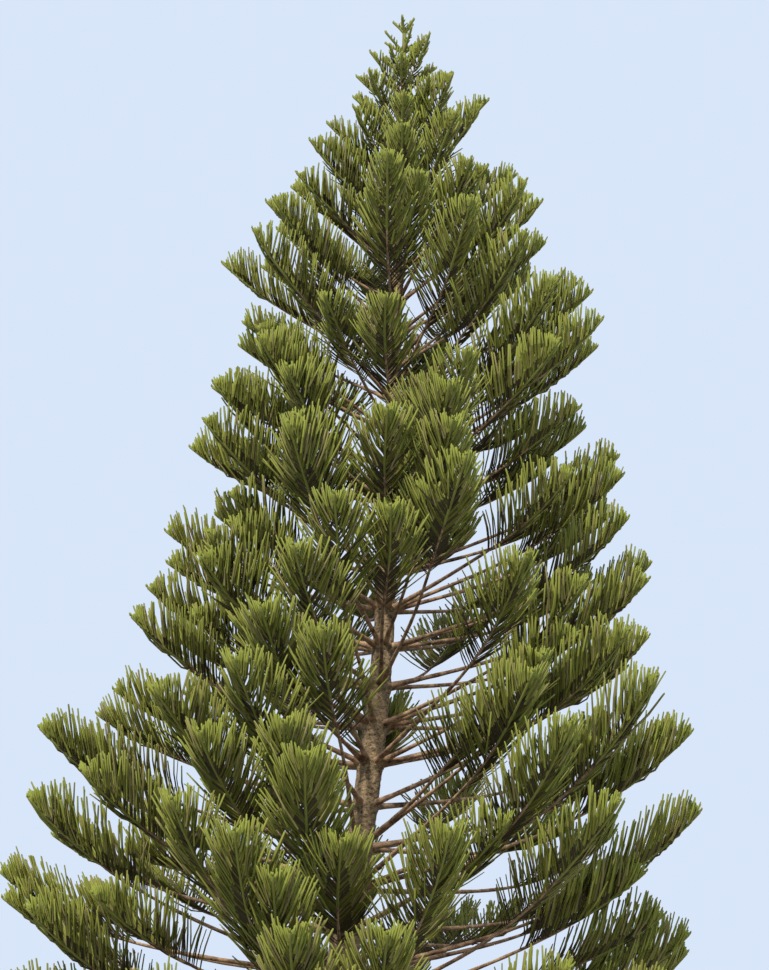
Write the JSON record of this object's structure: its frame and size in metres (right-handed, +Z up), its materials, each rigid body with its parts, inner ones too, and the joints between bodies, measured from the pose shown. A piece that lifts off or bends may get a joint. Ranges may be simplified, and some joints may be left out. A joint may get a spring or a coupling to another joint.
{
  "type": "cook pine tree",
  "caption": "Slender conifer with a slightly leaning trunk, whorls of upswept boughs and plumes of long upright cords of scale leaves, cut flat at ground level.",
  "frame": {"origin": "middle of the flat cut under the trunk, at ground level", "axes": "+Z up; the lower trunk leans towards +X, and the picture looks along +Y"},
  "size_m": [4.4225, 4.2534, 11.4039],
  "materials": {
    "bark": "rough, scaly, ringed with old bough scars",
    "limb_bark": "matte, finely scaly",
    "foliage": "matte scale leaves",
    "young_foliage": "slightly waxy young scale leaves"
  },
  "bodies": {
    "root": {"trunk": "bark", "bough_1_1": "limb_bark", "bough_1_2": "limb_bark", "bough_1_3": "limb_bark", "bough_1_4": "limb_bark", "bough_1_5": "limb_bark", "bough_2_1": "limb_bark", "bough_2_2": "limb_bark", "bough_2_3": "limb_bark", "bough_2_4": "limb_bark", "bough_2_5": "limb_bark", "bough_3_1": "limb_bark", "bough_3_2": "limb_bark", "bough_3_3": "limb_bark", "bough_3_4": "limb_bark", "bough_3_5": "limb_bark", "bough_4_1": "limb_bark", "bough_4_2": "limb_bark", "bough_4_3": "limb_bark", "bough_4_4": "limb_bark", "bough_4_5": "limb_bark", "foliage_1_1": "foliage", "foliage_1_2": "foliage", "foliage_1_3": "foliage", "foliage_1_4": "foliage", "foliage_1_5": "foliage", "foliage_2_1": "foliage", "foliage_2_2": "foliage", "foliage_2_3": "foliage", "foliage_2_4": "foliage", "foliage_2_5": "foliage", "foliage_3_1": "foliage", "foliage_3_2": "foliage", "foliage_3_3": "foliage", "foliage_3_4": "foliage", "foliage_3_5": "foliage", "foliage_4_1": "foliage", "foliage_4_2": "foliage", "foliage_4_3": "foliage", "foliage_4_4": "foliage", "foliage_4_5": "foliage", "foliage_5_1": "foliage", "foliage_5_2": "foliage", "foliage_5_3": "foliage", "foliage_5_4": "foliage", "foliage_5_5": "foliage", "foliage_6_1": "foliage", "foliage_6_2": "foliage", "foliage_6_3": "foliage", "foliage_6_4": "foliage", "foliage_6_5": "foliage", "foliage_7_1": "foliage", "foliage_7_2": "foliage", "foliage_7_3": "foliage", "foliage_7_4": "foliage", "foliage_8_1": "foliage", "foliage_8_2": "foliage", "foliage_8_3": "foliage", "foliage_8_4": "foliage", "foliage_leader": "young_foliage"}
  },
  "joints": []
}
